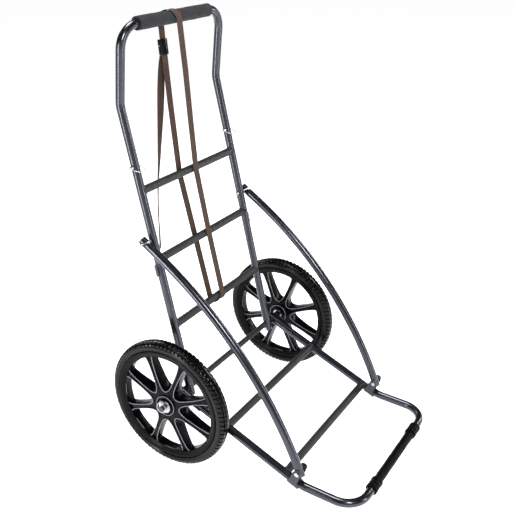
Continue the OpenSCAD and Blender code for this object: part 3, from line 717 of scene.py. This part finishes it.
def sector_edge(centre, direction):
    """Where a ray leaves the sector between two spoke centre lines and the two circles."""
    best = 1e9
    for sign in (-1, 1):
        n = Vector((math.sin(HALF_SECTOR), -sign * math.cos(HALF_SECTOR), 0))
        along = direction.dot(n)
        if along < -1e-9:
            best = min(best, -centre.dot(n) / along)
    for radius in (DISC_IN, DISC_OUT):
        b, c = centre.dot(direction), centre.length_squared - radius ** 2
        disc = b * b - c
        if disc > 0:
            for root in (-b - math.sqrt(disc), -b + math.sqrt(disc)):
                if root > 1e-6:
                    best = min(best, root)
                    break
    return centre + direction * best


def wheel_disc():
    """Spoked disc about X at the origin: ribs along each window, recessed faces between."""
    inner = petal_curve()
    n = len(inner)
    centre = WINDOW_MIDDLE
    outer = [sector_edge(centre, (p - centre).normalized()) for p in inner]
    for radius in (DISC_IN, DISC_OUT):
        for sign in (-1, 1):
            corner = Vector((radius * math.cos(HALF_SECTOR),
                             sign * radius * math.sin(HALF_SECTOR), 0))
            nearest = min(range(n), key=lambda i: (outer[i] - corner).length)
            outer[nearest] = corner
    normals = []
    for i in range(n):
        t = (inner[(i + 1) % n] - inner[i - 1]).normalized()
        side = Vector((t.y, -t.x, 0))
        normals.append(side if side.dot(inner[i] - centre) > 0 else -side)
    steps = [(0.0, -0.0010), (0.0003, -0.0003), (0.0009, 0.0), (RIB_W - 0.0008, 0.0),
             (RIB_W - 0.0002, -0.0004), (RIB_W + 0.0005, 0.0006 - RECESS),
             (RIB_W + 0.0014, -RECESS)]
    rows = [[(inner[i] + normals[i] * off, drop) for i in range(n)] for off, drop in steps]
    edge = [inner[i] + normals[i] * steps[-1][0] for i in range(n)]
    for share in (0.33, 0.67, 1.0):
        rows.append([(edge[i].lerp(outer[i], share), -RECESS) for i in range(n)])
    verts, faces = [], []
    for k in range(SPOKES):
        turn = Matrix.Rotation(2 * HALF_SECTOR * k, 3, "Z")
        base = len(verts)
        for sign in (1, -1):
            for row in rows:
                for p, drop in row:
                    q = turn @ p
                    verts.append(Vector((sign * (web_half(p.length) + drop), q.x, q.y)))
        count = len(rows)
        half = count * n
        for sign, offset in ((1, base), (-1, base + half)):
            for i in range(count - 1):
                for j in range(n):
                    m = (j + 1) % n
                    quad = (offset + i * n + j, offset + i * n + m,
                            offset + (i + 1) * n + m, offset + (i + 1) * n + j)
                    faces.append(quad[::-1] if sign > 0 else quad)
        for j in range(n):
            m = (j + 1) % n
            faces.append((base + j, base + m, base + half + m, base + half + j))
            a, b = outer[j], outer[m]
            for radius in (DISC_IN, DISC_OUT):
                if abs(a.length - radius) < 2e-4 and abs(b.length - radius) < 2e-4:
                    last = (count - 1) * n
                    faces.append((base + last + m, base + last + j,
                                  base + half + last + j, base + half + last + m))
    return verts, faces


def mirrored_section(half):
    """Closed section from its half with x from 0 up: the other half is added."""
    return half + [(-x, r) for x, r in half[::-1] if x > 0]


RIM = mirrored_section([
    (0.0, 0.1560), (0.0118, 0.1560), (0.0140, 0.1563), (0.0156, 0.1572), (0.0164, 0.1584),
    (0.0168, 0.1598), (0.0168, 0.1615), (0.0172, 0.1625), (0.0182, 0.1640), (0.0190, 0.1655),
    (0.0190, 0.1680), (0.0194, 0.1695), (0.0200, 0.1705), (0.0200, 0.1740), (0.0194, 0.1753),
    (0.0180, 0.1759), (0.0165, 0.1757), (0.0150, 0.1735), (0.0105, 0.1700), (0.0080, 0.1690),
    (0.0, 0.1690)])
HUB = mirrored_section([
    (0.0, 0.0131), (0.0244, 0.0131), (0.0250, 0.0137), (0.0250, 0.0212), (0.0244, 0.0219),
    (0.0205, 0.0222), (0.0198, 0.0230), (0.0196, 0.0285), (0.0202, 0.0293), (0.0224, 0.0297),
    (0.0230, 0.0302), (0.0230, 0.0318), (0.0224, 0.0325), (0.0196, 0.0330), (0.0186, 0.0345),
    (0.0170, 0.0352), (0.0, 0.0354)])


def merged(bag, gap=1e-5):
    """The bag with vertices at one place made one, so that shells close."""
    seen, keep, index = {}, [], []
    for v in bag.verts:
        key = (round(v.x / gap), round(v.y / gap), round(v.z / gap))
        if key not in seen:
            seen[key] = len(keep)
            keep.append(v)
        index.append(seen[key])
    faces = []
    for f in bag.faces:
        g = []
        for i in f:
            if index[i] not in g:
                g.append(index[i])
        if len(g) > 2:
            faces.append(tuple(g))
    bag.verts, bag.faces = keep, faces
    return bag


TREAD_PERIODS = 84
BED_X, BED_R = 0.0079, 0.1691
SHOULDER = 13              # points of the half section, counted from the bead
BLOCKS = range(14, 20)
SIDE_GROOVE = (20, 21)
NOTCHES = (22, 23, 24)
MIDDLE_GROOVE = (27, 28)
TYRE_HALF = [  # (x, r) from the bead to the middle of the tread
    (0.0082, 0.1705), (0.0120, 0.1730), (0.0160, 0.1762), (0.0185, 0.1772), (0.0203, 0.1785),
    (0.0212, 0.1802), (0.0212, 0.1815), (0.0206, 0.1822), (0.0206, 0.1832), (0.0213, 0.1840),
    (0.0218, 0.1860), (0.0219, 0.1890), (0.0213, 0.1915), (0.0206, 0.1922), (0.0206, 0.1930),
    (0.0203, 0.1945), (0.0192, 0.1965), (0.0176, 0.1985), (0.0155, 0.2000), (0.0130, 0.2009),
    (0.0126, 0.2010), (0.0104, 0.2016), (0.0100, 0.2017), (0.0075, 0.2022), (0.0052, 0.2026),
    (0.0048, 0.2026), (0.0022, 0.2029), (0.0018, 0.2029), (0.0, 0.2029)]


def tyre_mesh():
    """Tyre about X at the origin, with shoulder blocks, two ribs and a middle groove."""
    left = [(-x, r) for x, r in TYRE_HALF]
    right = [(x, r) for x, r in TYRE_HALF[-2::-1]]
    section = left + right
    middle = len(TYRE_HALF) - 1
    cols = len(section)
    steps = [(p + s) / TREAD_PERIODS for p in range(TREAD_PERIODS)
             for s in (0.0, 0.05, 0.30, 0.36, 0.68, 0.94)]
    order = (1, 0, 0, 0, 0, 1)
    verts = []
    for i, turn in enumerate(steps):
        low = order[i % len(order)]
        period = i // len(order)
        for j, (x, r) in enumerate(section):
            k = j if j <= middle else 2 * middle - j
            depth, shift = 0.0, 0.0
            side = -1 if j < middle else 1
            if k >= SHOULDER:
                shift = (0.35 * (k - SHOULDER) / 10.0) if k <= SHOULDER + 10 else 0.35
                shift += 0.5 if side > 0 else 0.0
            if k in BLOCKS and low:
                depth = 0.0040
            if k in SIDE_GROOVE:
                depth = 0.0034
            if k in NOTCHES and low:
                depth = 0.0022
            if k in MIDDLE_GROOVE:
                depth = 0.0030
            if 15 <= k <= 17 and period % 2:
                depth = max(depth, 0.0006)
            a = 2 * math.pi * (turn + shift / TREAD_PERIODS)
            normal_x = max(-1.0, min(1.0, x / 0.022)) if 14 <= k <= 17 else 0.0
            rr = r - depth * (1 - 0.6 * abs(normal_x))
            xx = x - 0.6 * depth * normal_x
            verts.append(Vector((xx, rr * math.cos(a), rr * math.sin(a))))
    rows = len(steps)
    faces = [f[::-1] for f in grid_faces(rows, cols, wrap_rows=True, wrap_cols=False)]
    bead = len(verts)
    # inner wall from bead to bead, over the rim's bed
    for i in range(rows):
        a = 2 * math.pi * steps[i]
        for x in (-BED_X, BED_X):
            verts.append(Vector((x, BED_R * math.cos(a), BED_R * math.sin(a))))
    for i in range(rows):
        k = (i + 1) % rows
        faces.append((bead + 2 * i, bead + 2 * i + 1, bead + 2 * k + 1, bead + 2 * k))
        faces.append((i * cols, bead + 2 * i, bead + 2 * k, k * cols))
        faces.append((bead + 2 * i + 1, i * cols + cols - 1, k * cols + cols - 1, bead + 2 * k + 1))
    return verts, faces


def wheel_ribs():
    """Raised beads round every window and round the collar, on both faces of the wheel."""
    bag = Bag()
    curve = petal_curve()
    n = len(curve)
    for sign in (-1, 1):
        for k in range(SPOKES):
            turn = Matrix.Rotation(2 * HALF_SECTOR * k, 3, "Z")
            line = []
            for i in range(n):
                t = (curve[(i + 1) % n] - curve[i - 1]).normalized()
                side = Vector((t.y, -t.x, 0))
                if side.dot(curve[i] - WINDOW_MIDDLE) < 0:
                    side = -side
                q = turn @ (curve[i] + side * RIB_R)
                line.append(Vector((sign * (web_half(q.length) - 0.0003), q.x, q.y)))
            bag.put(*wire(line, RIB_R, 10, closed=True))
        collar = [Vector((sign * 0.0224, 0.0312 * math.cos(a), 0.0312 * math.sin(a)))
                  for a in [2 * math.pi * k / 96 for k in range(96)]]
        bag.put(*wire(collar, RIB_R, 10, closed=True))
    return bag.verts, bag.faces


disc_verts, disc_faces = wheel_disc()
rib_verts, rib_faces = wheel_ribs()
tyre_verts, tyre_faces = tyre_mesh()
for side, body, suffix in ((-1, "wheel_l", "left"), (1, "wheel_r", "right")):
    place = Matrix.Translation(Vector((side * WHEEL_X, AXLE.y, AXLE.z)))
    wheel = Bag().put(disc_verts, disc_faces)
    wheel.put(*ring(RIM, (0, 0, 0), 160))
    wheel.put(*ring(HUB, (0, 0, 0), 64))
    merged(wheel).moved(place)
    wheel.add("spoked_wheel_" + suffix, "wheel_plastic", body, replaces=["wheel_" + suffix],
              sharp=40)
    ribs = Bag().put(rib_verts, rib_faces).moved(place)
    # The ribs take the lighter grey material, a painted highlight along them.
    ribs.add("wheel_ribs_" + suffix, "rib", body)
    tyre = Bag().put(tyre_verts, tyre_faces).moved(place)
    tyre.add("treaded_tyre_" + suffix, "tyre_rubber", body, replaces=["tyre_" + suffix], sharp=40)

# ---------------------------------------------------------------- hub hardware
LYNCH_X = WHEEL_X + HUB_HALF + 0.009
WASHERS = ((WHEEL_X - 0.0278, WHEEL_X - 0.0254, 0.016),
           (WHEEL_X + 0.0254, WHEEL_X + 0.0276, 0.0205))  # (from, to, radius)
washers = Bag()
for side in (-1, 1):
    for x0, x1, r in WASHERS:
        section = rounded(x0, x1, r, AXLE_BORE, 0.0007)
        if side < 0:
            section = [(-x, rr) for x, rr in section][::-1]
        washers.put(*ring(section, (0, AXLE.y, AXLE.z), 48))
washers.add("flat_washers", "zinc", "nose_frame", replaces=["hub_washers"])


def upright_spindle(profile, x, y, z, segs):
    """Solid about Z from a run of (height, r)."""
    verts, faces = spindle(profile, (0, 0, 0), segs)
    turn = Matrix.Rotation(math.radians(-90), 4, "Y")
    return [Vector((x, y, z)) + (turn @ Vector(v)) for v in verts], faces


lynch = Bag()
for side in (-1, 1):
    x = side * LYNCH_X
    lynch.put(*upright_spindle([(-0.016, 0), (-0.0158, 0.0006), (-0.013, 0.0021), (-0.0115, 0.0025),
                                (0.016, 0.0025), (0.016, 0)], x, AXLE.y, AXLE.z, 24))
    lynch.put(*upright_spindle([(0.0150, 0), (0.0150, 0.0050), (0.0156, 0.0057), (0.0166, 0.0060),
                                (0.0208, 0.0060), (0.0222, 0.0054), (0.0229, 0.0040),
                                (0.0230, 0)], x, AXLE.y, AXLE.z, 32))
    centre = Vector((x + side * 0.0065, AXLE.y, AXLE.z + 0.004))
    hoop = [centre + 0.016 * Vector((0.02 * math.sin(2 * a), math.cos(a), math.sin(a)))
            for a in [2 * math.pi * k / 64 for k in range(64)]]
    lynch.put(*wire(hoop, 0.0014, 10, closed=True))
    pivot = Vector((x, AXLE.y, AXLE.z + 0.0195))
    lynch.put(*wire([pivot, pivot + X * side * 0.003, pivot + X * side * 0.0078], 0.0023, 14))
lynch.add("spring_lynch_pins", "zinc", "nose_frame", replaces=["lynch_pins"])


# ---------------------------------------------------------------- fasteners
def headed_pin(x_head, x_face, x_tip, r, r_head):
    """Pin along X: domed head from x_head to x_face, shank to a chamfered tip at x_tip."""
    return [(x_head, 0), (x_head, r_head * 0.55), (x_head + 0.0006, r_head * 0.84),
            (x_head + 0.0018, r_head), (x_face - 0.0005, r_head), (x_face, r_head - 0.0005),
            (x_face, r), (x_tip - 0.0016, r), (x_tip - 0.0003, r * 0.68), (x_tip, r * 0.4),
            (x_tip, 0)]


SADDLE_EAR = TUBE_R + 0.0005 + 0.003
pivot_low, pivot_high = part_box("pivot_knobs")
PIVOT = (pivot_low + pivot_high) / 2
hinge_pins, knobs = Bag(), Bag()
for x in (-NOSE_X, NOSE_X):
    at = (0, PIVOT.y, PIVOT.z)
    hinge_pins.put(*spindle(headed_pin(x - SADDLE_EAR - 0.005, x - SADDLE_EAR - 0.0003,
                                       x + SADDLE_EAR + 0.012, 0.004, 0.007), at, 32))
    x0, x1 = x + SADDLE_EAR + 0.0003, x + SADDLE_EAR + 0.015
    profile = [(x0, 0), (x0, 0.0075), (x0 + 0.001, 0.0085), (x0 + 0.003, 0.0092),
               (x0 + 0.0042, 0.0105), (x0 + 0.0055, 0.011), (x1 - 0.0035, 0.011),
               (x1 - 0.0015, 0.0104), (x1 - 0.0004, 0.009), (x1, 0.0065), (x1 - 0.0006, 0.004),
               (x1 - 0.0006, 0)]
    knobs.put(*spindle(profile, at, 72, shape=lambda xx, r, a: r - (
        0.0011 * (0.5 - 0.5 * math.cos(7 * a)) if r > 0.0095 else 0.0)))
hinge_pins.add("hinge_pins", "zinc", "nose_frame", replaces=["pivot_pins"])
knobs.add("hand_knobs", "black_plastic", "nose_frame", replaces=["pivot_knobs"])

end_bolts = Bag()
bolt_at = up(END_BOLT_S)
for x in (-BACK_X, BACK_X):
    at = (0, bolt_at.y, bolt_at.z)
    end_bolts.put(*spindle([(x - TUBE_R - 0.0010, 0), (x - TUBE_R - 0.0010, 0.0030),
                            (x + TUBE_R + 0.0040, 0.0030), (x + TUBE_R + 0.0046, 0.0022),
                            (x + TUBE_R + 0.0046, 0)], at, 24))
    for face, out in ((x - TUBE_R, -1), (x + TUBE_R, 1)):
        hexagon = [(face + out * 0.0001, 0), (face + out * 0.0001, 0.0050),
                   (face + out * 0.0026, 0.0055), (face + out * 0.0034, 0.0046),
                   (face + out * 0.0034, 0)]
        end_bolts.put(*spindle(hexagon if out > 0 else hexagon[::-1], at, 6))
end_bolts.add("hex_bolts", "zinc", "back_frame", replaces=["end_bolts"], sharp=20)

upper_at, lower_at = up(UPPER_PIN_S), up(RAIL_PIN_S)
for side, body, suffix in ((-1, "pin_upper_l", "left"), (1, "pin_upper_r", "right")):
    x = side * BACK_X
    pin = Bag().put(*spindle(headed_pin(x - TUBE_R - 0.008, x - TUBE_R - 0.001,
                                        x + TUBE_R + 0.007, 0.0035, 0.006),
                             (0, upper_at.y, upper_at.z), 32))
    pin.add("wire_lock_pin_" + suffix, "zinc", body, replaces=["upper_pin_" + suffix])
    half = TUBE_R + 0.005
    turn = Matrix.Rotation(-LEAN, 3, "X") @ Matrix.Rotation(math.radians(118), 3, "X")
    shape = [Vector((-half, 0, -0.004)), Vector((-half, 0, 0.006))]
    shape += [Vector((-half * math.cos(a), 0, 0.014 + half * math.sin(a)))
              for a in [math.pi * k / 16 for k in range(17)]]
    shape += [Vector((half, 0, 0.006)), Vector((half, 0, -0.004))]
    line = smooth_path([Vector((x, upper_at.y, upper_at.z)) + turn @ p for p in shape], 3)
    Bag().put(*wire(line, 0.0012, 12)).add("wire_bail_" + suffix, "zinc", body,
                                           replaces=["upper_bail_" + suffix])
for x0, x1, body, suffix in ((-NOSE_X - TUBE_R, -BACK_X + TUBE_R, "pin_lower_l", "left"),
                             (BACK_X - TUBE_R, NOSE_X + TUBE_R, "pin_lower_r", "right")):
    pin = Bag().put(*spindle(headed_pin(x0 - 0.008, x0 - 0.0015, x1 + 0.006, 0.0035, 0.006),
                             (0, lower_at.y, lower_at.z), 32))
    pin.add("lock_pin_" + suffix, "zinc", body, replaces=["lower_pin_" + suffix])
    # split ring: two turns of flat-lying wire
    to_ring = (Matrix.Translation((x0 - 0.0105, lower_at.y, lower_at.z))
               @ Matrix.Rotation(math.radians(-25), 4, "Y")
               @ Matrix.Translation((-0.0144, 0, 0)) @ Matrix.Rotation(math.radians(60), 4, "X"))
    turns = 2
    line = [to_ring @ Vector((0.012 * math.cos(a), 0.012 * math.sin(a),
                              0.0011 * (a / (2 * math.pi * turns) - 0.5)))
            for a in [2 * math.pi * turns * k / 96 for k in range(97)]]
    Bag().put(*wire(line, 0.00062, 10)).add("split_ring_" + suffix, "zinc", body,
                                            replaces=["pull_ring_" + suffix])

# ---------------------------------------------------------------- cam buckle
BUCKLE_AT, BUCKLE_TILT = (-0.040, 0.384, 1.178), math.radians(-6)
IN_BUCKLE = Matrix.Translation(BUCKLE_AT) @ Matrix.Rotation(BUCKLE_TILT, 4, "X")
buckle = Bag()
buckle.put(*block((-0.014, -0.007, -0.022), (0.014, -0.005, 0.022), 0.0008, IN_BUCKLE))
for x in (-0.014, 0.012):
    buckle.put(*block((x, -0.0065, -0.0218), (x + 0.002, 0.0070, 0.0218), 0.0008, IN_BUCKLE))
for k in range(5):
    z = -0.0125 + 0.0055 * k
    buckle.put(*block((-0.0105, -0.0078, z), (0.0105, -0.0066, z + 0.0022), 0.0005, IN_BUCKLE))
buckle.add("buckle_frame", "black_plastic", "back_frame", replaces=["buckle_body"])

rods = Bag()
BAR = [(-0.0126, 0), (-0.0126, 0.0012), (-0.0120, 0.0016), (0.0120, 0.0016), (0.0126, 0.0012),
       (0.0126, 0)]
for z in (-0.018, 0.018):
    bar_verts, bar_faces = spindle(BAR, (0, -0.0015, z), 20)
    rods.put([IN_BUCKLE @ Vector(v) for v in bar_verts], bar_faces)
rods.add("buckle_bars", "zinc", "back_frame", replaces=["buckle_rods"])

lever = Bag()
DRUM = [(-0.0145, 0), (-0.0145, 0.0016), (-0.0141, 0.0020), (-0.0116, 0.0020), (-0.0116, 0.0042),
        (-0.0110, 0.0046)]
DRUM += [(-x, r) for x, r in DRUM[::-1]]
drum_verts, drum_faces = spindle(
    DRUM, (0, 0.003, 0.004), 36,
    shape=lambda x, r, a: r - (0.0006 * (0.5 + 0.5 * math.cos(18 * a)) if r > 0.0043 else 0))
lever.put([IN_BUCKLE @ Vector(v) for v in drum_verts], drum_faces)
THUMB = [(0.0045, 0.0050), (-0.002, 0.0056), (-0.008, 0.0058), (-0.014, 0.0062), (-0.018, 0.0068),
         (-0.020, 0.0075)]
thumb_line = smooth_path([IN_BUCKLE @ Vector((0, y, z)) for z, y in THUMB], 5)
thumb_verts, thumb_faces, _ = tape(thumb_line, [0.0] * len(thumb_line), 0.0228, 0.0020)
lever.put(thumb_verts, thumb_faces)
lever.add("buckle_cam", "zinc", "cam_lever", replaces=["buckle_lever"])
